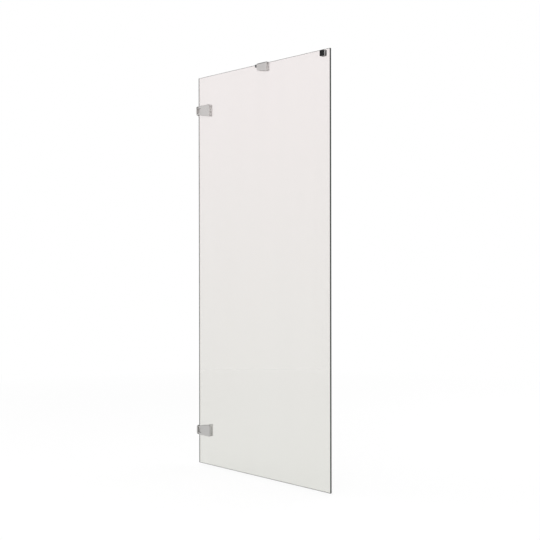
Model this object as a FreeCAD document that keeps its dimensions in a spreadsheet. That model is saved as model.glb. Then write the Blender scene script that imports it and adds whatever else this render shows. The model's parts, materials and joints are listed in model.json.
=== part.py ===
import FreeCAD, Part
import math
import os
import Sketcher

# Frameless shower screen: a glass pane on two wall hinges, with a saddle clip and a stop at its top edge.
# X runs from the wall along the pane, Y across the glass (the viewer's side is -Y) and Z up, in millimetres.
# The origin lies on the wall, behind the middle of the lower hinge.

# Driving dimensions
SIZES = {
    # Glass pane
    "pane_width": 900.0,
    "pane_height": 2000.0,
    "pane_thickness": 10.0,
    "pane_arris": 0.8,
    "pane_wall_gap": 8.0,
    "hinge_inset": 170.0,
    # Wall plate and knuckle
    "wall_plate_thickness": 6.0,
    "wall_plate_width": 29.0,
    "wall_plate_height": 48.0,
    "wall_plate_corner": 11.0,
    "wall_plate_edge": 1.5,
    "wall_hole_diameter": 5.0,
    "wall_hole_sink": 2.2,
    "wall_hole_spacing_y": 14.0,
    "wall_hole_spacing_z": 32.0,
    "axis_distance": 24.0,
    "knuckle_radius": 10.0,
    "knuckle_neck": 14.0,
    "knuckle_height": 20.0,
    "groove_radius": 3.0,
    "groove_depth": 0.8,
    # Pivot
    "pin_diameter": 6.0,
    "pin_recess": 1.0,
    "pin_chamfer": 0.5,
    "bush_wall": 1.5,
    "bush_flange_width": 1.5,
    "bush_flange_thickness": 1.0,
    "press_gap": 0.02,
    "running_gap": 0.05,
    "thrust_gap": 0.1,
    # Hinge leaf
    "plate_thickness": 8.0,
    "plate_wall_height": 46.0,
    "plate_flare": 15.5,
    "plate_past_axis": 8.0,
    "plate_reach": 101.0,
    "plate_corner": 5.0,
    "plate_edge": 1.5,
    "gasket_thickness": 1.5,
    "gasket_inset": 0.3,
    "ear_thickness": 7.0,
    "notch_play": 2.0,
    "notch_corner": 8.0,
    "boss_reach": 60.0,
    "boss_corner": 6.0,
    "window_gap": 1.0,
    # Clamp screws
    "screw_diameter": 5.0,
    "screw_head_diameter": 10.0,
    "screw_bite": 10.0,
    "screw_spacing": 25.0,
    "screw_from_axis": 27.0,
    "screw_gap": 0.05,
    "screw_socket": 3.0,
    "screw_socket_depth": 2.0,
    # Centring detent
    "plunger_diameter": 7.6,
    "plunger_length": 9.0,
    "plunger_nose": 3.0,
    "plunger_gap": 0.1,
    "nose_gap": 0.3,
    "spring_bore": 3.0,
    "spring_gap": 0.3,
    "plug_length": 5.0,
    "plug_socket": 4.0,
    "plug_socket_depth": 3.0,
    # Saddle clip
    "clip_length": 67.0,
    "clip_offset": 23.0,
    "clip_drop": 40.5,
    "clip_rise": 10.6,
    "clip_leg": 7.5,
    "clip_roof": 2.5,
    "clip_corner": 10.0,
    "clip_deep_corner": 4.0,
    "clip_bevel": 5.0,
    "clip_edge": 1.2,
    "clip_pad": 1.5,
    "clip_pad_inset": 0.5,
    "clip_plate": 2.0,
    "channel_leg": 12.0,
    "channel_tail": 18.0,
    "channel_grip": 10.0,
    "channel_gap": 0.5,
    "clip_screw_diameter": 6.0,
    "clip_screw_recess": 0.5,
    "clip_screw_spacing": 40.0,
    "clip_screw_drop": 16.0,
    "clip_screw_socket": 3.0,
    "clip_screw_socket_depth": 2.5,
    # Corner stop
    "stop_length": 26.5,
    "stop_height": 27.5,
    "stop_below_edge": 2.0,
    "stop_from_edge": 30.0,
    "stop_front": 3.2,
    "stop_back": 8.5,
    "stop_corner": 4.0,
    "stop_edge": 1.2,
    "stop_liner": 2.5,
    "stop_pad": 1.0,
    "stop_pad_inset": 0.3,
    "stop_hole_diameter": 10.0,
    "stop_sleeve_gap": 0.2,
    "stop_screw_diameter": 5.0,
    "stop_screw_head_diameter": 10.0,
    "stop_screw_bite": 2.4,
    "stop_screw_drop": 20.0,
    "stop_screw_socket": 3.0,
    "stop_screw_socket_depth": 2.0,
}

# Places worked out from the driving dimensions
DERIVED = {
    "pane_bottom": "0 - hinge_inset",
    "pane_top": "pane_height - hinge_inset",
    "lower_hinge": "0",
    "upper_hinge": "pane_height - 2 * hinge_inset",
    "pane_end": "pane_wall_gap + pane_width",
    "pane_half": "pane_thickness / 2",
    "leaf_inner": "pane_half + gasket_thickness",
    "leaf_outer": "leaf_inner + plate_thickness",
    "plate_start": "axis_distance - plate_past_axis",
    "plate_half": "plate_wall_height / 2",
    "plate_flared_half": "plate_half + plate_flare",
    "pin_radius": "pin_diameter / 2",
    "bush_radius": "pin_radius + running_gap + bush_wall",
    "flange_radius": "bush_radius + bush_flange_width",
    "flange_start": "knuckle_height / 2 + thrust_gap",
    "ear_start": "flange_start + bush_flange_thickness",
    "ear_end": "ear_start + ear_thickness",
    "pin_half": "ear_end - pin_recess",
    "window_end": "axis_distance + knuckle_radius + window_gap",
    "notch_half": "ear_end + notch_play",
    "notch_end": "boss_reach + notch_play",
    "plunger_radius": "plunger_diameter / 2",
    "bore_radius": "plunger_radius + plunger_gap",
    "plunger_start": "axis_distance + knuckle_radius + nose_gap",
    "plunger_end": "plunger_start + plunger_length",
    "plug_start": "boss_reach - plug_length",
    "screw_radius": "screw_diameter / 2",
    "screw_head_radius": "screw_head_diameter / 2",
    "screw_sink": "screw_head_radius - screw_radius",
    "screw_length": "plate_thickness + screw_bite",
    "screw_place": "axis_distance + screw_from_axis",
    "clip_place": "pane_wall_gap + pane_width / 2 + clip_offset",
    "clip_half": "clip_length / 2",
    "clip_bottom": "pane_top - clip_drop",
    "clip_shallow": "clip_bottom + clip_rise",
    "clip_under": "pane_top + clip_pad",
    "clip_top": "clip_under + clip_roof",
    "clip_inner": "pane_half + clip_pad",
    "clip_outer": "clip_inner + clip_leg",
    "clip_back_inner": "clip_inner + clip_plate",
    "channel_bottom": "pane_top - channel_leg",
    "gasket_start": "channel_grip + channel_gap - clip_half",
    "press_start": "clip_pad_inset - clip_half",
    "clip_screw_radius": "clip_screw_diameter / 2",
    "clip_screw_length": "clip_outer - clip_back_inner - clip_screw_recess",
    "clip_screw_height": "pane_top - clip_screw_drop",
    "stop_place": "pane_end - stop_from_edge - stop_length / 2",
    "stop_middle": "pane_top - stop_below_edge - stop_height / 2",
    "stop_front_inner": "pane_half + stop_liner",
    "stop_front_outer": "stop_front_inner + stop_front",
    "stop_back_inner": "pane_half + stop_pad",
    "stop_back_outer": "stop_back_inner + stop_back",
    "stop_hole_radius": "stop_hole_diameter / 2",
    "stop_screw_radius": "stop_screw_diameter / 2",
    "stop_bore": "stop_screw_radius + screw_gap",
    "stop_screw_head_radius": "stop_screw_head_diameter / 2",
    "stop_screw_sink": "stop_screw_head_radius - stop_screw_radius",
    "stop_screw_length": "stop_back_outer + stop_front_inner + stop_screw_bite",
    "stop_screw_height": "pane_top - stop_screw_drop",
    "stop_screw_rise": "stop_screw_height - stop_middle",
}

SHEET = "Sizes"
FULL_TURN = 360.0
QUARTER_TURN = 90.0
NEAR = 1e-3
ROUGH_RADIUS = 10.0
HEX_SIDES = 6
# Distance of a hexagon's corner from its middle, per unit across its flats
HEX_CORNER = 1 / math.sqrt(3)

doc = FreeCAD.newDocument("ShowerScreen")


def fill_sheet():
    """Write every driving and derived dimension into an aliased cell."""
    cells = {alias: str(number) for alias, number in SIZES.items()}
    cells.update({alias: "=" + formula for alias, formula in DERIVED.items()})
    sheet = doc.addObject("Spreadsheet::Sheet", SHEET)
    for row, (alias, content) in enumerate(cells.items(), start=1):
        sheet.set(f"A{row}", alias)
        sheet.set(f"B{row}", content)
        sheet.setAlias(f"B{row}", alias)
    doc.recompute()
    return sheet


sizes = fill_sheet()


def size(alias):
    """The number that a cell of the sheet holds."""
    return float(sizes.get(alias))


def bind(item, path, formula):
    """Tie one property to a formula written in the sheet's aliases and numbers, parted by spaces."""
    known = SIZES.keys() | DERIVED.keys()
    words = [f"{SHEET}.{word}" if word in known else word for word in formula.split()]
    item.setExpression(path, " ".join(words))


# Building blocks


def new_body(label):
    """Start a sub-part."""
    body = doc.addObject("PartDesign::Body", label)
    body.Label = label
    return body


def origin_item(body, role):
    """One of the body's own origin planes or axes."""
    return next(item for item in body.Origin.OriginFeatures if item.Role == role)


def new_sketch(body, name, role, lift="0"):
    """A sketch on an origin plane, lifted along that plane's normal."""
    sketch = body.newObject("Sketcher::SketchObject", f"{body.Name}_{name}")
    sketch.AttachmentSupport = [(origin_item(body, role), "")]
    sketch.MapMode = "FlatFace"
    bind(sketch, "AttachmentOffset.Base.z", lift)
    return sketch


def fix_point(sketch, geometry, point, across, up):
    """Fix one point of a sketch at a place given by two formulas."""
    for kind, formula in (("DistanceX", across), ("DistanceY", up)):
        index = sketch.addConstraint(Sketcher.Constraint(kind, -1, 1, geometry, point, 1.0))
        bind(sketch, f"Constraints[{index}]", formula)


def draw_outline(sketch, corners):
    """A closed outline of straight lines through corners given by formulas."""
    count = len(corners)
    turns = [2 * math.pi * index / count for index in range(count + 1)]
    ring = [FreeCAD.Vector(math.cos(turn), math.sin(turn), 0) * ROUGH_RADIUS for turn in turns]
    lines = [sketch.addGeometry(Part.LineSegment(*ends), False) for ends in zip(ring, ring[1:])]
    for line, following, (across, up) in zip(lines, lines[1:] + lines[:1], corners):
        sketch.addConstraint(Sketcher.Constraint("Coincident", line, 2, following, 1))
        fix_point(sketch, line, 1, across, up)


def draw_box(sketch, left, right, bottom, top):
    """A rectangle between four formulas."""
    draw_outline(sketch, [(left, bottom), (right, bottom), (right, top), (left, top)])


def draw_circle(sketch, across, up, radius):
    """A circle whose centre and radius are formulas."""
    circle = Part.Circle(FreeCAD.Vector(0, 0, 0), FreeCAD.Vector(0, 0, 1), ROUGH_RADIUS)
    geometry = sketch.addGeometry(circle, False)
    index = sketch.addConstraint(Sketcher.Constraint("Radius", geometry, ROUGH_RADIUS))
    bind(sketch, f"Constraints[{index}]", radius)
    fix_point(sketch, geometry, 3, across, up)


def draw_hexagon(sketch, flats):
    """A hexagon about the sketch's origin, given across its flats."""
    turns = [2 * math.pi * index / HEX_SIDES for index in range(HEX_SIDES)]
    shares = [(HEX_CORNER * math.cos(turn), HEX_CORNER * math.sin(turn)) for turn in turns]
    corners = [[f"{flats} * ( {share:.9f} )" for share in pair] for pair in shares]
    draw_outline(sketch, corners)


def pad(body, sketch, length, both_ways=False):
    """Raise a sketch into a solid, along its normal or half each way."""
    feature = body.newObject("PartDesign::Pad", sketch.Name + "_pad")
    feature.Profile = sketch
    feature.Midplane = both_ways
    bind(feature, "Length", length)
    return feature


def cut(body, sketch, depth=None, along_normal=False):
    """Cut a sketch to a depth, or right through both ways, and see that it removes something."""
    doc.recompute()
    before = body.Shape.Volume
    feature = body.newObject("PartDesign::Pocket", sketch.Name + "_cut")
    feature.Profile = sketch
    if depth is None:
        feature.Type = "ThroughAll"
        feature.Midplane = True
    else:
        feature.Reversed = along_normal
        bind(feature, "Length", depth)
    doc.recompute()
    if body.Shape.Volume >= before:
        raise ValueError(f"{feature.Name} cuts nothing")
    return feature


def turn(body, corners):
    """Turn a half outline, given as radius and height, about the body's Z axis."""
    sketch = new_sketch(body, "half", "XZ_Plane")
    draw_outline(sketch, corners)
    feature = body.newObject("PartDesign::Revolution", f"{body.Name}_turned")
    feature.Profile = sketch
    feature.ReferenceAxis = (sketch, ["V_Axis"])
    feature.Angle = FULL_TURN
    return feature


def turn_tube(body, inner, outer, bottom, top):
    """Turn a plain tube about the body's Z axis."""
    return turn(body, [(inner, bottom), (outer, bottom), (outer, top), (inner, top)])


def dress(body, kind, amount, picks):
    """Round (Fillet) or bevel (Chamfer) the edges of the finished solid that a test picks."""
    doc.recompute()
    base = body.Tip
    names = [f"Edge{number}" for number, edge in enumerate(base.Shape.Edges, start=1) if picks(edge)]
    feature = body.newObject(f"PartDesign::{kind}", f"{body.Name}_{kind}")
    feature.Base = (base, names)
    bind(feature, "Radius" if kind == "Fillet" else "Size", amount)
    return feature


def copy_along(body, role, spacing, features):
    """Repeat features once more along an origin axis, as a separate solid."""
    doc.recompute()
    pattern = body.newObject("PartDesign::LinearPattern", f"{body.Name}_pair")
    pattern.Originals = features
    pattern.Direction = (origin_item(body, role), [""])
    bind(pattern, "Length", spacing)
    pattern.Occurrences = 2
    body.Tip = pattern


def place(body, along="0", across="0", up="0", axis=None):
    """Put a sub-part in its place, turned a quarter about an axis where one is given."""
    if axis:
        body.Placement.Rotation = FreeCAD.Rotation(FreeCAD.Vector(*axis), QUARTER_TURN)
    for letter, formula in (("x", along), ("y", across), ("z", up)):
        bind(body, f"Placement.Base.{letter}", formula)


# Tests that pick edges


def runs_along(edge, letter):
    """Whether a straight edge runs along one axis."""
    if not isinstance(edge.Curve, Part.Line):
        return False
    return abs(abs(getattr(edge.Curve.Direction, letter.lower())) - 1) < NEAR


def lies_at(edge, letter, alias, sign=1):
    """Whether a whole edge lies at one level of an axis, named by its cell."""
    level = sign * size(alias)
    ends = (getattr(edge.BoundBox, letter + end) for end in ("Min", "Max"))
    return all(abs(end - level) < NEAR for end in ends)


def crosses_at(edge, letter, alias):
    """Whether an edge runs straight across the glass at one level of another axis."""
    return runs_along(edge, "Y") and lies_at(edge, letter, alias)


def on_both_faces(edge, alias):
    """Whether an edge lies on either of two faces at the same distance across the glass."""
    return lies_at(edge, "Y", alias) or lies_at(edge, "Y", alias, -1)


def is_foot(edge, sign):
    """Whether an edge is a lower corner at the clip's deep end or, with a sign of -1, at its shallow end."""
    low = edge.BoundBox.ZMax < size("pane_top") - NEAR
    return low and runs_along(edge, "Y") and sign * edge.BoundBox.XMin > 0


def is_rim(edge, radius):
    """Whether an edge is a circle of one radius."""
    return isinstance(edge.Curve, Part.Circle) and abs(edge.Curve.Radius - radius) < NEAR


# Glass


def make_pane():
    """The pane, with a rounded notch behind each hinge, a hole for the stop's screw and ground edges."""
    body = new_body("glass_pane")
    outline = new_sketch(body, "outline", "XZ_Plane")
    draw_box(outline, "pane_wall_gap", "pane_end", "pane_bottom", "pane_top")
    pad(body, outline, "pane_thickness", both_ways=True)
    for hinge in ("lower_hinge", "upper_hinge"):
        notch = new_sketch(body, hinge, "XZ_Plane")
        draw_box(notch, "0", "notch_end", f"{hinge} - notch_half", f"{hinge} + notch_half")
        cut(body, notch)
    dress(body, "Fillet", "notch_corner", lambda edge: crosses_at(edge, "X", "notch_end"))
    hole = new_sketch(body, "hole", "XZ_Plane")
    draw_circle(hole, "stop_place", "stop_screw_height", "stop_hole_radius")
    cut(body, hole)
    dress(body, "Chamfer", "pane_arris", lambda edge: on_both_faces(edge, "pane_half"))


# Hinges


def make_wall_plate(hinge):
    """The plate on the wall with its screw holes, and the knuckle with the pin's bore and centring groove."""
    body = new_body(f"{hinge}_wall_plate")
    outline = new_sketch(body, "outline", "YZ_Plane")
    wide, tall = "wall_plate_width / 2", "wall_plate_height / 2"
    draw_box(outline, f"0 - {wide}", wide, f"0 - {tall}", tall)
    pad(body, outline, "wall_plate_thickness")
    dress(body, "Fillet", "wall_plate_corner", lambda edge: runs_along(edge, "X"))
    at_front = lambda edge: lies_at(edge, "X", "wall_plate_thickness")
    dress(body, "Chamfer", "wall_plate_edge", at_front)
    neck = new_sketch(body, "neck", "XY_Plane")
    draw_box(neck, "wall_plate_thickness", "axis_distance", "0 - knuckle_neck / 2", "knuckle_neck / 2")
    pad(body, neck, "knuckle_height", both_ways=True)
    nose = new_sketch(body, "nose", "XY_Plane")
    draw_circle(nose, "axis_distance", "0", "knuckle_radius")
    pad(body, nose, "knuckle_height", both_ways=True)
    bore = new_sketch(body, "bore", "XY_Plane")
    draw_circle(bore, "axis_distance", "0", "pin_radius + press_gap")
    cut(body, bore)
    groove = new_sketch(body, "groove", "XY_Plane")
    draw_circle(groove, "axis_distance + knuckle_radius + groove_radius - groove_depth", "0", "groove_radius")
    cut(body, groove)
    holes = new_sketch(body, "holes", "YZ_Plane")
    for across in ("0 - wall_hole_spacing_y / 2", "wall_hole_spacing_y / 2"):
        for up in ("0 - wall_hole_spacing_z / 2", "wall_hole_spacing_z / 2"):
            draw_circle(holes, across, up, "wall_hole_diameter / 2")
    cut(body, holes)
    rims = lambda edge: is_rim(edge, size("wall_hole_diameter") / 2) and at_front(edge)
    dress(body, "Chamfer", "wall_hole_sink", rims)
    place(body, up=f"{hinge}_hinge")


def make_pivot(hinge):
    """The pin, pressed into the knuckle, and the two flanged bushes that turn on it."""
    pin = new_body(f"{hinge}_pivot_pin")
    turn_tube(pin, "0", "pin_radius", "0 - pin_half", "pin_half")
    dress(pin, "Chamfer", "pin_chamfer", lambda edge: is_rim(edge, size("pin_radius")))
    bushes = new_body(f"{hinge}_pivot_bushes")
    bore = "pin_radius + running_gap"
    flange = [(bore, "flange_start"), ("flange_radius", "flange_start"), ("flange_radius", "ear_start")]
    sleeve = [("bush_radius", "ear_start"), ("bush_radius", "ear_end"), (bore, "ear_end")]
    turned = turn(bushes, flange + sleeve)
    doc.recompute()
    pair = bushes.newObject("PartDesign::Mirrored", f"{bushes.Name}_pair")
    pair.Originals = [turned]
    pair.MirrorPlane = (origin_item(bushes, "XY_Plane"), [""])
    bushes.Tip = pair
    for body in (pin, bushes):
        place(body, along="axis_distance", up=f"{hinge}_hinge")


def leaf_corners(hinge, inset):
    """The outline shared by plates and gaskets, flared towards the middle of the pane."""
    ends = ["plate_flared_half", "plate_half"]
    bottom_end, top_end = ends if hinge == "upper" else reversed(ends)
    left, right = f"plate_start + {inset}", f"plate_reach - {inset}"
    wall_end = [(left, f"plate_half - {inset}"), (left, f"{inset} - plate_half")]
    return wall_end + [(right, f"{inset} - {bottom_end}"), (right, f"{top_end} - {inset}")]


def raise_leaf(body, hinge, lift, thickness, inset="0"):
    """Raise the flared outline and round its corners at the free end."""
    outline = new_sketch(body, "outline", "XZ_Plane", lift)
    draw_outline(outline, leaf_corners(hinge, inset))
    pad(body, outline, thickness)
    free_end = size("plate_reach") - size("gasket_inset")
    at_end = lambda edge: runs_along(edge, "Y") and edge.BoundBox.XMin > free_end - NEAR
    dress(body, "Fillet", "plate_corner", at_end)


def cut_window(body):
    """Open the leaf round the knuckle."""
    window = new_sketch(body, "window", "XZ_Plane")
    draw_box(window, "0", "window_end", "0 - ear_start", "ear_start")
    cut(body, window)


def make_front_plate(hinge):
    """The plate on the viewer's side, with the boss that fills the notch and holds bushes and detent."""
    body = new_body(f"{hinge}_front_plate")
    raise_leaf(body, hinge, "leaf_inner", "plate_thickness")
    dress(body, "Chamfer", "plate_edge", lambda edge: lies_at(edge, "Y", "leaf_outer", -1))
    boss = new_sketch(body, "boss", "XZ_Plane", "0 - leaf_inner")
    draw_box(boss, "plate_start", "boss_reach", "0 - ear_end", "ear_end")
    pad(body, boss, "leaf_inner * 2")
    dress(body, "Fillet", "boss_corner", lambda edge: crosses_at(edge, "X", "boss_reach"))
    cut_window(body)
    for name, upwards in (("lower_bush_bore", False), ("upper_bush_bore", True)):
        bore = new_sketch(body, name, "XY_Plane")
        draw_circle(bore, "axis_distance", "0", "bush_radius + press_gap")
        cut(body, bore, "ear_end", along_normal=upwards)
    detent = new_sketch(body, "detent_bore", "YZ_Plane")
    draw_circle(detent, "0", "0", "bore_radius")
    cut(body, detent)
    tapped = new_sketch(body, "tapped_holes", "XZ_Plane", "0 - leaf_inner")
    for up in ("0 - screw_spacing / 2", "screw_spacing / 2"):
        draw_circle(tapped, "screw_place", up, "screw_radius + screw_gap")
    cut(body, tapped, "screw_bite + screw_gap", along_normal=True)
    place(body, up=f"{hinge}_hinge")


def make_back_plate(hinge):
    """The plate on the far side, with countersunk holes for the clamp screws."""
    body = new_body(f"{hinge}_back_plate")
    raise_leaf(body, hinge, "0 - leaf_outer", "plate_thickness")
    dress(body, "Chamfer", "plate_edge", lambda edge: lies_at(edge, "Y", "leaf_outer"))
    cut_window(body)
    holes = new_sketch(body, "holes", "XZ_Plane")
    for up in ("0 - screw_spacing / 2", "screw_spacing / 2"):
        draw_circle(holes, "screw_place", up, "screw_radius + screw_gap")
    cut(body, holes)
    hole_radius = size("screw_radius") + size("screw_gap")
    rims = lambda edge: is_rim(edge, hole_radius) and lies_at(edge, "Y", "leaf_outer")
    dress(body, "Chamfer", "screw_sink", rims)
    place(body, up=f"{hinge}_hinge")


def make_leaf_gasket(hinge, side, lift):
    """A soft sheet between one plate and the glass, open over the notch."""
    body = new_body(f"{hinge}_{side}_gasket")
    raise_leaf(body, hinge, lift, "gasket_thickness", "gasket_inset")
    notch = new_sketch(body, "notch", "XZ_Plane")
    draw_box(notch, "0", "notch_end", "0 - notch_half", "notch_half")
    cut(body, notch)
    place(body, up=f"{hinge}_hinge")


def cut_socket(body, flats, depth, lift="0", along_normal=True):
    """A hexagon socket in the end of a screw."""
    socket = new_sketch(body, "socket", "XY_Plane", lift)
    draw_hexagon(socket, flats)
    return cut(body, socket, depth, along_normal)


def turn_sunk_screw(body, prefix):
    """One countersunk socket screw about the body's Z axis, from its head to its point."""
    radius, sink, length = (f"{prefix}_{part}" for part in ("radius", "sink", "length"))
    head = [("0", "0"), (f"{prefix}_head_radius", "0"), (radius, sink)]
    turned = turn(body, head + [(radius, length), ("0", length)])
    return [turned, cut_socket(body, f"{prefix}_socket", f"{prefix}_socket_depth")]


def make_clamp_screws(hinge):
    """Two countersunk socket screws, driven from the back plate into the boss."""
    body = new_body(f"{hinge}_clamp_screws")
    features = turn_sunk_screw(body, "screw")
    copy_along(body, "Y_Axis", "screw_spacing", features)
    up = f"{hinge}_hinge - screw_spacing / 2"
    place(body, "screw_place", "leaf_outer - screw_gap", up, axis=(1, 0, 0))


def make_detent(hinge):
    """The round-nosed plunger, its spring buffer and the plug that closes the bore."""
    plunger = new_body(f"{hinge}_centring_plunger")
    turn_tube(plunger, "0", "plunger_radius", "plunger_start", "plunger_end")
    dress(plunger, "Fillet", "plunger_nose", lambda edge: lies_at(edge, "Z", "plunger_start"))
    spring = new_body(f"{hinge}_centring_spring")
    turn_tube(spring, "spring_bore / 2", "plunger_radius - spring_gap", "plunger_end", "plug_start")
    plug = new_body(f"{hinge}_spring_plug")
    turn_tube(plug, "0", "bore_radius - screw_gap", "plug_start", "boss_reach")
    cut_socket(plug, "plug_socket", "plug_socket_depth", "boss_reach", along_normal=False)
    for body in (plunger, spring, plug):
        place(body, up=f"{hinge}_hinge", axis=(0, 1, 0))


def make_hinge(hinge):
    """All pieces of one hinge."""
    make_wall_plate(hinge)
    make_pivot(hinge)
    make_front_plate(hinge)
    make_back_plate(hinge)
    make_leaf_gasket(hinge, "front", "pane_half")
    make_leaf_gasket(hinge, "back", "0 - leaf_inner")
    make_clamp_screws(hinge)
    make_detent(hinge)


# Saddle clip


def raise_saddle(body, length, levels, front, back):
    """Raise a U section over the top edge. Its levels are the feet, the roof's underside and its top."""
    bottom, under, top = levels
    (front_outer, front_inner), (back_outer, back_inner) = front, back
    section = new_sketch(body, "section", "YZ_Plane")
    front_face, front_wall = f"0 - {front_outer}", f"0 - {front_inner}"
    outside = [(front_face, bottom), (front_face, top), (back_outer, top), (back_outer, bottom)]
    inside = [(back_inner, bottom), (back_inner, under), (front_wall, under), (front_wall, bottom)]
    draw_outline(section, outside + inside)
    pad(body, section, length, both_ways=True)


def round_feet(body, inset="0"):
    """Round the clip's lower corners, the more so at its shallow end."""
    dress(body, "Fillet", f"clip_corner - {inset}", lambda edge: is_foot(edge, -1))
    dress(body, "Fillet", f"clip_deep_corner - {inset}", lambda edge: is_foot(edge, 1))


def make_clip_saddle():
    """The saddle clip's body, with a bevelled roof, sloped feet and tapped holes in its back leg."""
    body = new_body("top_clip_saddle")
    levels = ("clip_bottom", "clip_under", "clip_top")
    front, back = ("clip_outer", "clip_inner"), ("clip_outer", "clip_back_inner")
    raise_saddle(body, "clip_length", levels, front, back)
    slope = new_sketch(body, "slope", "XZ_Plane")
    low_end = ("clip_half", "clip_bottom")
    draw_outline(slope, [("0 - clip_half", "clip_bottom"), low_end, ("0 - clip_half", "clip_shallow")])
    cut(body, slope)
    round_feet(body)
    ridge = lambda edge: runs_along(edge, "X") and lies_at(edge, "Z", "clip_top")
    dress(body, "Chamfer", "clip_bevel", ridge)
    reaches_low = lambda edge: edge.BoundBox.ZMin < size("clip_screw_height")
    dress(body, "Chamfer", "clip_edge", lambda edge: reaches_low(edge) and on_both_faces(edge, "clip_outer"))
    holes = new_sketch(body, "holes", "XZ_Plane", "0 - clip_outer")
    for across in ("0 - clip_screw_spacing / 2", "clip_screw_spacing / 2"):
        draw_circle(holes, across, "clip_screw_height", "clip_screw_radius + screw_gap")
    cut(body, holes, "clip_outer", along_normal=True)
    place(body, "clip_place")


def make_clip_sheet(label, lift, thickness, start):
    """A flat piece inside the saddle clip, with the same feet."""
    body = new_body(label)
    outline = new_sketch(body, "outline", "XZ_Plane", lift)
    end = "clip_half - clip_pad_inset"
    feet = [(start, "clip_shallow + clip_pad_inset"), (end, "clip_bottom + clip_pad_inset")]
    draw_outline(outline, feet + [(end, "pane_top"), (start, "pane_top")])
    pad(body, outline, thickness)
    round_feet(body, "clip_pad_inset")
    place(body, "clip_place")


def make_edge_pad():
    """The rubber pad on the edge of the glass, with a channel that shows past the clip's shallow end."""
    body = new_body("top_clip_edge_pad")
    wall = ("clip_inner", "pane_half")
    levels = ("channel_bottom", "pane_top", "clip_under")
    raise_saddle(body, "channel_tail + channel_grip", levels, wall, wall)
    tongue = new_sketch(body, "tongue", "YZ_Plane")
    draw_box(tongue, "0 - clip_inner", "clip_inner", "pane_top", "clip_under")
    pad(body, tongue, "clip_length - clip_pad_inset - ( channel_grip - channel_tail ) / 2")
    place(body, "clip_place - clip_half + ( channel_grip - channel_tail ) / 2")


def make_set_screws():
    """Two headless socket screws in the clip's back leg."""
    body = new_body("top_clip_set_screws")
    turned = turn_tube(body, "0", "clip_screw_radius", "0", "clip_screw_length")
    socket = cut_socket(body, "clip_screw_socket", "clip_screw_socket_depth")
    copy_along(body, "X_Axis", "clip_screw_spacing", [turned, socket])
    along, across = "clip_place - clip_screw_spacing / 2", "clip_outer - clip_screw_recess"
    place(body, along, across, "clip_screw_height", axis=(1, 0, 0))


def make_clip():
    """All pieces of the saddle clip."""
    make_clip_saddle()
    make_clip_sheet("top_clip_front_gasket", "pane_half", "clip_pad", "gasket_start")
    make_clip_sheet("top_clip_back_gasket", "0 - clip_inner", "clip_pad", "gasket_start")
    make_clip_sheet("top_clip_pressure_plate", "0 - clip_back_inner", "clip_plate", "press_start")
    make_edge_pad()
    make_set_screws()


# Corner stop


def raise_stop_plate(label, lift, thickness, inset="0"):
    """Raise the outline shared by the stop's blocks and pads, with rounded corners."""
    body = new_body(label)
    outline = new_sketch(body, "outline", "XZ_Plane", lift)
    wide, tall = f"( stop_length / 2 - {inset} )", f"( stop_height / 2 - {inset} )"
    draw_box(outline, f"0 - {wide}", wide, f"0 - {tall}", tall)
    pad(body, outline, thickness)
    dress(body, "Fillet", f"stop_corner - {inset}", lambda edge: runs_along(edge, "Y"))
    place(body, "stop_place", up="stop_middle")
    return body


def bore_stop(body, lift="0", depth=None):
    """The screw's hole in a block or pad, right through or to a depth from a lifted plane."""
    hole = new_sketch(body, "hole", "XZ_Plane", lift)
    draw_circle(hole, "0", "stop_screw_rise", "stop_bore")
    cut(body, hole, depth, along_normal=True)


def make_stop_blocks():
    """The black block on the viewer's side, tapped for the screw, and the thicker one on the far side."""
    front = raise_stop_plate("corner_stop_body", "stop_front_inner", "stop_front")
    dress(front, "Fillet", "stop_edge", lambda edge: lies_at(edge, "Y", "stop_front_outer", -1))
    bore_stop(front, "stop_front_inner", "stop_screw_bite + screw_gap")
    back = raise_stop_plate("corner_stop_back", "0 - stop_back_outer", "stop_back")
    dress(back, "Fillet", "stop_edge", lambda edge: lies_at(edge, "Y", "stop_back_outer"))
    bore_stop(back)
    rims = lambda edge: is_rim(edge, size("stop_bore")) and lies_at(edge, "Y", "stop_back_outer")
    dress(back, "Chamfer", "stop_screw_sink", rims)


def make_stop():
    """All pieces of the stop near the free corner, held by one screw through the glass."""
    make_stop_blocks()
    bore_stop(raise_stop_plate("corner_stop_liner", "pane_half", "stop_liner", "stop_pad_inset"))
    bore_stop(raise_stop_plate("corner_stop_back_pad", "0 - stop_back_inner", "stop_pad", "stop_pad_inset"))
    sleeve = new_body("corner_stop_sleeve")
    turn_tube(sleeve, "stop_bore", "stop_hole_radius - stop_sleeve_gap", "0", "pane_thickness")
    place(sleeve, "stop_place", "pane_half", "stop_screw_height", axis=(1, 0, 0))
    screw = new_body("corner_stop_screw")
    turn_sunk_screw(screw, "stop_screw")
    place(screw, "stop_place", "stop_back_outer - screw_gap", "stop_screw_height", axis=(1, 0, 0))


# Checks and files


def check_model(bodies):
    """Stop if any object failed or any sub-part is empty or invalid."""
    failed = [item.Name for item in doc.Objects if {"Invalid", "Error"} & set(item.State)]
    bad = [body.Label for body in bodies if body.Shape.isNull() or not body.Shape.isValid()]
    if failed or bad:
        raise ValueError(f"failed objects {failed}, bad shapes {bad}")


def write_parts(bodies):
    """Write each sub-part to a file named by its label."""
    os.makedirs("parts", exist_ok=True)
    for body in bodies:
        body.Shape.exportStep(f"parts/{body.Label}.step")


def main():
    """Build the whole screen and write its pieces."""
    make_pane()
    for hinge in ("upper", "lower"):
        make_hinge(hinge)
    make_clip()
    make_stop()
    doc.recompute()
    bodies = [item for item in doc.Objects if item.TypeId == "PartDesign::Body"]
    check_model(bodies)
    write_parts(bodies)


main()
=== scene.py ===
import json
import math

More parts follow.
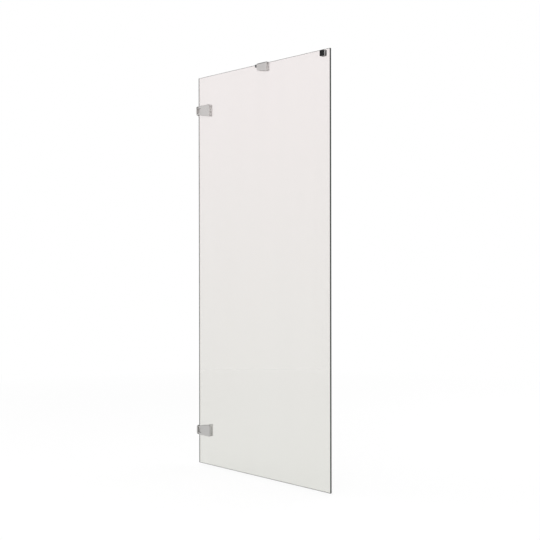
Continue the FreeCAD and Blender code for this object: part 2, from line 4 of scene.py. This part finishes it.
import bpy
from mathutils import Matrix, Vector


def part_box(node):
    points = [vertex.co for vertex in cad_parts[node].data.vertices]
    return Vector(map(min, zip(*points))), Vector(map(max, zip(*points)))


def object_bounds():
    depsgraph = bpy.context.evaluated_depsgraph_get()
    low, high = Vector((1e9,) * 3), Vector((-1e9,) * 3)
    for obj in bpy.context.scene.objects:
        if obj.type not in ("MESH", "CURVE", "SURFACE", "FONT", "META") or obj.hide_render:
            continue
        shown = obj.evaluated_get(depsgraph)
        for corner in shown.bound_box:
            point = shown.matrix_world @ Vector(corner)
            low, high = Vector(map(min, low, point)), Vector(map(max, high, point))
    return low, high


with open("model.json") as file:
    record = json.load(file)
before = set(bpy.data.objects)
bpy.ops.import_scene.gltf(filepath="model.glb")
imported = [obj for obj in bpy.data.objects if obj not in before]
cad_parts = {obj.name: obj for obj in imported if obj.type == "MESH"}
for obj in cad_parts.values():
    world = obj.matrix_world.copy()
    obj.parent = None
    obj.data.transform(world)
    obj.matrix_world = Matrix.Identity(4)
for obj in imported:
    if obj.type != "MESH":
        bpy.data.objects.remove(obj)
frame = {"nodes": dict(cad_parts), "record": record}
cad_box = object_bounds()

# Camera, in metres, degrees and millimetres
CAMERA_PLACE = (3.4588, -2.9664, 0.8499)
CAMERA_TURN = (89.775, 0.09, 44.689)
CAMERA_LENS = 57.97
CAMERA_SENSOR = 36.0

# Floor, in metres
FLOOR_GAP = 0.012
FLOOR_SIZE = 60.0
FLOOR_COLOUR = (0.9, 0.9, 0.9, 1.0)
FLOOR_ROUGHNESS = 0.8
# Share of its look that is plain white near the object, and the distances between which it turns all white
FLOOR_WHITE = 0.8
SHADOW_REACH = (1.5, 4.5)

# World: its strength as light, and the darker ceiling that metal mirrors
AMBIENT = 0.62
CEILING = 0.2
# Slopes at which the ceiling starts and is full
CEILING_RISE = (0.3, 0.65)

# Soft lamps: name, place, side length and power in watts
LAMPS = (
    ("key", (2.6, -3.6, 3.4), 2.6, 120.0),
    ("fill", (-2.6, -2.4, 2.6), 3.0, 45.0),
    ("back", (1.2, 3.6, 3.0), 3.0, 80.0),
)
LAMP_TARGET = (0.45, 0.0, 0.9)

# Shared by several looks
WHITE = (1.0, 1.0, 1.0, 1.0)
FULL = (0.0, 1.0)

# Smooth noise: the span that it mostly keeps to, its usual detail and no stretch along the axes
NOISE_SPAN = (0.3, 0.7)
NOISE_DETAIL = 3.0
UNSTRETCHED = (1.0, 1.0, 1.0)

# Sockets of a colour blend by number, because their names repeat
BLEND_SHARE = 0
BLEND_FIRST = 6
BLEND_SECOND = 7
BLEND_RESULT = 2

# Glass, and the light that one of its faces lets through onto what lies behind
GLASS_IOR = 1.5
GLASS_SHADE = (0.9, 0.9, 0.89, 1.0)

# Film on the glass: its clear share, its patches per metre, and its tint at the foot and at the top, where a
# painted reflection makes it lighter
FILM_CLEAR = 0.95
FILM_PATCHES = 25.0
FILM_ROUGHNESS = (0.0, 0.012)
# Tints at the foot and the top: a painted reflection, lighter higher up
FILM_SHADED_FOOT = (0.755, 0.754, 0.718, 1.0)
FILM_LIT_TOP = (0.857, 0.807, 0.803, 1.0)

# Marks on the film: the pattern's repeats per metre, detail and stretch, and the most that it covers
SMEARS = (3.0, 4.0, (1.0, 1.0, 0.35))
SMEAR_COVER = 0.12
SMEAR_COLOUR = (0.82, 0.83, 0.81, 1.0)
WIPES = (14.0, 5.0, (1.0, 1.0, 0.05))
WIPE_COVER = 0.06
WIPE_COLOUR = (0.66, 0.65, 0.62, 1.0)

# Ground edges of the glass, which end where a surface faces across the pane, in near-black painted shade with
# streaks of painted reflection, and a painted highlight where it faces up
FACE_TURN = (0.75, 0.9)
TOP_HIGHLIGHT_TURN = (0.2, 0.8)
EDGE_STREAKS = (350.0, 2.0, (0.015, 1.0, 0.015))
# Painted shade of the edge, and the colour of its streaks of painted reflection
EDGE_PAINTED_SHADE = (0.006, 0.009, 0.007, 1.0)
EDGE_STREAK_REFLECTION = (0.03, 0.036, 0.032, 1.0)
# Painted highlight where the edge faces up
EDGE_TOP_HIGHLIGHT = (0.42, 0.42, 0.41, 1.0)

# Satin metal, darker low on the screen by painted shade; a relief is a depth in metres and its strength
# Painted shade low down and painted light high up
SATIN_SHADED_LOW = (0.495, 0.49, 0.477, 1.0)
SATIN_LIT_HIGH = (0.65, 0.622, 0.612, 1.0)
SATIN_BRUSHING = (2500.0, 2.0, (0.02, 1.0, 1.0))
SATIN_BRUSH_COVER = 0.35
SATIN_BRUSH_COLOUR = (0.5, 0.495, 0.488, 1.0)
SATIN_PATCHES = 30.0
SATIN_PATCH_COVER = 0.25
SATIN_PATCH_COLOUR = (0.53, 0.52, 0.512, 1.0)
SATIN_ROUGHNESS = (0.26, 0.38)
SATIN_RELIEF = (0.00002, 0.25)

# Bright steel
STEEL_TOOL_MARKS = (1500.0, 2.0, (1.0, 0.06, 1.0))
STEEL_STAINS = 160.0
STEEL_STAIN_SPAN = (0.45, 0.75)
STEEL_CLEAN = (0.58, 0.58, 0.59, 1.0)
STEEL_STAINED = (0.44, 0.43, 0.42, 1.0)
STEEL_ROUGHNESS = (0.16, 0.3)
STEEL_RELIEF = (0.00003, 0.3)

# Black anodised metal
BLACK_BRUSHING = (1800.0, 2.0, (1.0, 1.0, 0.05))
BLACK_CLOUDS = 80.0
BLACK_LOW = (0.004, 0.004, 0.005, 1.0)
BLACK_HIGH = (0.01, 0.01, 0.011, 1.0)
BLACK_ROUGHNESS = (0.32, 0.46)
BLACK_GLOSS = 0.18
BLACK_RELIEF = (0.00002, 0.25)

# Moulded finishes: darkest and lightest colour, range of roughness, grain per metre and its depth in metres
MOULDED = {
    "black_rubber": ((0.06, 0.06, 0.06, 1.0), (0.1, 0.1, 0.1, 1.0), (0.6, 0.8), 900.0, 0.00006),
    "soft_gasket": ((0.82, 0.83, 0.82, 1.0), (0.9, 0.91, 0.9, 1.0), (0.45, 0.6), 600.0, 0.00005),
    "bush_plastic": ((0.7, 0.69, 0.64, 1.0), (0.8, 0.79, 0.75, 1.0), (0.35, 0.5), 800.0, 0.00003),
    "spring_plastic": ((0.45, 0.28, 0.08, 1.0), (0.58, 0.38, 0.13, 1.0), (0.3, 0.45), 800.0, 0.00003),
}
MOULDED_CLOUDS = 60.0
MOULDED_STRENGTH = 0.4

# Soft pieces, which lie a hair off the glass so that light gets between, and the reach of one corner point
SOFT_SLOTS = ("soft_gasket", "black_rubber")
SEAT = 0.00008
CORNER_REACH = 0.000001


# Node helpers


def feed(tree, socket, value):
    """Link another node's output to a socket, or set the socket's own value."""
    if isinstance(value, bpy.types.NodeSocket):
        tree.links.new(value, socket)
    else:
        socket.default_value = value


def add(tree, kind, inputs=None, **settings):
    """Add one shader node with its settings and inputs."""
    node = tree.nodes.new("ShaderNode" + kind)
    for name, value in settings.items():
        setattr(node, name, value)
    for name, value in (inputs or {}).items():
        feed(tree, node.inputs[name], value)
    return node


def new_material(name):
    """A new material, its tree and its main shader."""
    material = bpy.data.materials.new(name)
    material.use_nodes = True
    tree = material.node_tree
    return material, tree, tree.nodes["Principled BSDF"]


def set_shader(tree, shader, values):
    """Fill the main shader's inputs."""
    for name, value in values.items():
        feed(tree, shader.inputs[name], value)


def set_surface(tree, share, first, second):
    """Blend two shaders into the material's surface."""
    look = add(tree, "MixShader", {0: share, 1: first.outputs[0], 2: second.outputs[0]})
    tree.links.new(look.outputs[0], tree.nodes["Material Output"].inputs["Surface"])


def object_point(tree):
    """A point on the piece in its own frame."""
    return add(tree, "TexCoord").outputs["Object"]


def along_axis(tree, vector, axis):
    """A vector's part along one axis."""
    return add(tree, "SeparateXYZ", {"Vector": vector}).outputs[axis]


def noise(tree, scale, detail=NOISE_DETAIL, stretch=UNSTRETCHED):
    """Smooth noise from 0 to 1, in repeats per metre."""
    point = add(tree, "Mapping", {"Vector": object_point(tree), "Scale": stretch}).outputs["Vector"]
    return add(tree, "TexNoise", {"Vector": point, "Scale": scale, "Detail": detail}).outputs["Fac"]


def spread(tree, value, ends, span=NOISE_SPAN):
    """Stretch a value's span onto new ends, without going past them."""
    inputs = {"Value": value, "From Min": span[0], "From Max": span[1], "To Min": ends[0], "To Max": ends[1]}
    return add(tree, "MapRange", inputs).outputs["Result"]


def mix(tree, share, first, second):
    """Blend two colours."""
    node = add(tree, "Mix", data_type="RGBA")
    for index, value in ((BLEND_SHARE, share), (BLEND_FIRST, first), (BLEND_SECOND, second)):
        feed(tree, node.inputs[index], value)
    return node.outputs[BLEND_RESULT]


def bump(tree, height, distance, strength):
    """A bump's normal, from a height between 0 and 1."""
    inputs = {"Height": height, "Distance": distance, "Strength": strength}
    return add(tree, "Bump", inputs).outputs["Normal"]


def math_node(tree, operation, *values):
    """The result of one sum."""
    return add(tree, "Math", dict(enumerate(values)), operation=operation).outputs[0]


# Materials


def height_on_pane(tree):
    """0 at the foot of the pane and 1 at its top."""
    low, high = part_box("glass_pane")
    return spread(tree, along_axis(tree, object_point(tree), "Z"), FULL, (low.z, high.z))


def facing(tree, axis):
    """How far a surface faces along one axis of the piece, either way."""
    normal = add(tree, "TexCoord").outputs["Normal"]
    return math_node(tree, "ABSOLUTE", along_axis(tree, normal, axis))


def edge_of_glass(tree):
    """1 on the ground edges of the pane and 0 on its two faces."""
    return spread(tree, facing(tree, "Y"), (1.0, 0.0), FACE_TURN)


def glass_face(tree):
    """A faint filmy tint, darker at the foot and lighter towards the top by a painted reflection, with wide
    smears and narrow upright wipe marks.
    """
    # The tint runs from foot to top as a painted reflection, lighter higher up
    film_and_reflection = mix(tree, height_on_pane(tree), FILM_SHADED_FOOT, FILM_LIT_TOP)
    smear = spread(tree, noise(tree, *SMEARS), (0.0, SMEAR_COVER))
    wipe = spread(tree, noise(tree, *WIPES), (0.0, WIPE_COVER))
    smeared = mix(tree, smear, film_and_reflection, SMEAR_COLOUR)
    return mix(tree, wipe, smeared, WIPE_COLOUR)


def glass_edge(tree):
    """A ground edge in near-black painted shade with long streaks of painted reflection, and a painted
    highlight along the top.
    """
    reflection_streak = spread(tree, noise(tree, *EDGE_STREAKS), FULL)
    # Painted shade darkens the edge, and its lighter streaks are painted reflection
    ground = mix(tree, reflection_streak, EDGE_PAINTED_SHADE, EDGE_STREAK_REFLECTION)
    # A painted highlight on the upward edge, stronger higher on the pane
    level = spread(tree, facing(tree, "Z"), FULL, TOP_HIGHLIGHT_TURN)
    top_highlight = math_node(tree, "MULTIPLY", level, height_on_pane(tree))
    return mix(tree, top_highlight, ground, EDGE_TOP_HIGHLIGHT)


def clear_glass():
    """Clear toughened glass with a filmy face and dark edges, which lets the lamps shine through; the face
    carries a painted reflection, and the edges carry painted shade, painted reflections and a painted
    highlight.
    """
    material, tree, shader = new_material("clear_glass")
    edge = edge_of_glass(tree)
    set_shader(tree, shader, {
        "Base Color": mix(tree, edge, glass_face(tree), glass_edge(tree)),
        "Transmission Weight": spread(tree, edge, (FILM_CLEAR, 0.0), FULL),
        "Roughness": spread(tree, noise(tree, FILM_PATCHES), FILM_ROUGHNESS),
        "IOR": GLASS_IOR,
    })
    shadow = add(tree, "LightPath").outputs["Is Shadow Ray"]
    set_surface(tree, shadow, shader, add(tree, "BsdfTransparent", {"Color": GLASS_SHADE}))
    return material


def satin_metal():
    """Satin plated metal: fine brush marks along the fitting, cloudier patches and painted shade that darkens
    it low down.
    """
    material, tree, shader = new_material("satin_metal")
    marks = noise(tree, *SATIN_BRUSHING)
    patches = noise(tree, SATIN_PATCHES)
    # Painted shade: the metal is darker low on the pane and lighter high up
    shaded_tone = mix(tree, height_on_pane(tree), SATIN_SHADED_LOW, SATIN_LIT_HIGH)
    brushed = mix(tree, spread(tree, marks, (SATIN_BRUSH_COVER, 0.0)), shaded_tone, SATIN_BRUSH_COLOUR)
    set_shader(tree, shader, {
        "Base Color": mix(tree, spread(tree, patches, (0.0, SATIN_PATCH_COVER)), brushed, SATIN_PATCH_COLOUR),
        "Metallic": 1.0,
        "Roughness": spread(tree, patches, SATIN_ROUGHNESS),
        "Normal": bump(tree, marks, *SATIN_RELIEF),
    })
    return material


def bright_steel():
    """Turned stainless steel: fine tool marks and a few darker stains."""
    material, tree, shader = new_material("bright_steel")
    marks = noise(tree, *STEEL_TOOL_MARKS)
    stain = spread(tree, noise(tree, STEEL_STAINS), FULL, STEEL_STAIN_SPAN)
    set_shader(tree, shader, {
        "Base Color": mix(tree, stain, STEEL_CLEAN, STEEL_STAINED),
        "Metallic": 1.0,
        "Roughness": spread(tree, marks, STEEL_ROUGHNESS),
        "Normal": bump(tree, marks, *STEEL_RELIEF),
    })
    return material


def black_anodised():
    """Black anodised aluminium: a slightly uneven black skin over fine upright brush marks."""
    material, tree, shader = new_material("black_anodised")
    cloud = spread(tree, noise(tree, BLACK_CLOUDS), FULL)
    marks = noise(tree, *BLACK_BRUSHING)
    set_shader(tree, shader, {
        "Base Color": mix(tree, cloud, BLACK_LOW, BLACK_HIGH),
        "Roughness": spread(tree, marks, BLACK_ROUGHNESS),
        "Specular IOR Level": BLACK_GLOSS,
        "Normal": bump(tree, marks, *BLACK_RELIEF),
    })
    return material


def moulded(name, dark, light, roughness, grain, depth):
    """A moulded plastic or rubber with a fine grain and a slightly uneven colour."""
    material, tree, shader = new_material(name)
    cloud = spread(tree, noise(tree, MOULDED_CLOUDS), FULL)
    skin = noise(tree, grain)
    set_shader(tree, shader, {
        "Base Color": mix(tree, cloud, dark, light),
        "Roughness": spread(tree, skin, roughness),
        "Normal": bump(tree, skin, depth, MOULDED_STRENGTH),
    })
    return material


def make_finishes():
    """Every finish by the name of its slot."""
    finishes = {name: moulded(name, *look) for name, look in MOULDED.items()}
    finishes["clear_glass"] = clear_glass()
    finishes["satin_metal"] = satin_metal()
    finishes["bright_steel"] = bright_steel()
    finishes["black_anodised"] = black_anodised()
    return finishes


def lift_off(piece):
    """Draw a piece's faces in by a hair, with their corners kept together."""
    corners = piece.modifiers.new("corners", "WELD")
    corners.merge_threshold = CORNER_REACH
    seat = piece.modifiers.new("seat", "DISPLACE")
    seat.strength = -SEAT
    seat.mid_level = 0.0


def dress_nodes(finishes):
    """Give each node the finish of its slot, and a hair of air if it is soft."""
    for subpart in frame["record"]["subparts"]:
        piece = frame["nodes"][subpart["node"]]
        slot = subpart["material_slot"]
        piece.data.materials[0] = finishes[slot]
        if slot in SOFT_SLOTS:
            lift_off(piece)


# Stage


def add_object(name, data, place):
    """Link an object at a place."""
    item = bpy.data.objects.new(name, data)
    item.location = place
    bpy.context.scene.collection.objects.link(item)
    return item


def seen_ray(tree, mirrored=1.0):
    """1 for what is seen straight or through glass, and another value for what is seen in a mirror."""
    path = add(tree, "LightPath").outputs
    straight = math_node(tree, "MAXIMUM", path["Is Camera Ray"], path["Is Transmission Ray"])
    reflected = math_node(tree, "MULTIPLY", path["Is Glossy Ray"], mirrored)
    return math_node(tree, "MAXIMUM", straight, reflected)


def floor_material():
    """A pale floor that looks white and keeps the object's shadow."""
    material, tree, shader = new_material("pale_floor")
    finish = {"Base Color": FLOOR_COLOUR, "Roughness": FLOOR_ROUGHNESS, "Specular IOR Level": 0.0}
    set_shader(tree, shader, finish)
    glow = add(tree, "Emission", {"Color": WHITE, "Strength": 1.0})
    distance = add(tree, "VectorMath", {0: object_point(tree)}, operation="LENGTH").outputs["Value"]
    white = spread(tree, distance, (FLOOR_WHITE, 1.0), SHADOW_REACH)
    set_surface(tree, math_node(tree, "MULTIPLY", seen_ray(tree), white), shader, glow)
    return material


def make_floor():
    """The floor just below the pane."""
    half = FLOOR_SIZE / 2
    corners = [(-half, -half, 0), (half, -half, 0), (half, half, 0), (-half, half, 0)]
    mesh = bpy.data.meshes.new("floor")
    mesh.from_pydata(corners, [], [(0, 1, 2, 3)])
    mesh.materials.append(floor_material())
    low, high = cad_box
    add_object("floor", mesh, ((low[0] + high[0]) / 2, 0, low[2] - FLOOR_GAP))


def make_world():
    """White to the eye with a darker ceiling in reflections, and a softer white as light."""
    world = bpy.data.worlds.new("studio")
    world.use_nodes = True
    tree = world.node_tree
    direction = add(tree, "TexCoord").outputs["Generated"]
    ceiling = spread(tree, along_axis(tree, direction, "Z"), (1.0, CEILING), CEILING_RISE)
    mirrored = add(tree, "LightPath").outputs["Is Glossy Ray"]
    light = spread(tree, mirrored, (AMBIENT, 0.0), FULL)
    background = tree.nodes["Background"]
    background.inputs["Color"].default_value = WHITE
    feed(tree, background.inputs["Strength"], math_node(tree, "MAXIMUM", seen_ray(tree, ceiling), light))
    bpy.context.scene.world = world


def make_lamps():
    """Soft square lamps that face the middle of the pane."""
    for name, place, side, power in LAMPS:
        lamp = bpy.data.lights.new(name, "AREA")
        lamp.size = side
        lamp.energy = power
        item = add_object(name, lamp, place)
        aim = Vector(LAMP_TARGET) - Vector(place)
        item.rotation_euler = aim.to_track_quat("-Z", "Y").to_euler()
        item.visible_glossy = False
        item.visible_transmission = False


def make_camera():
    """The camera at the photograph's angle, near the height of the middle of the pane."""
    lens = bpy.data.cameras.new("camera")
    lens.lens = CAMERA_LENS
    lens.sensor_width = CAMERA_SENSOR
    lens.sensor_fit = "HORIZONTAL"
    camera = add_object("camera", lens, CAMERA_PLACE)
    camera.rotation_euler = [math.radians(angle) for angle in CAMERA_TURN]
    bpy.context.scene.camera = camera


dress_nodes(make_finishes())
make_floor()
make_world()
make_lamps()
make_camera()
bpy.context.scene.view_settings.view_transform = "Standard"
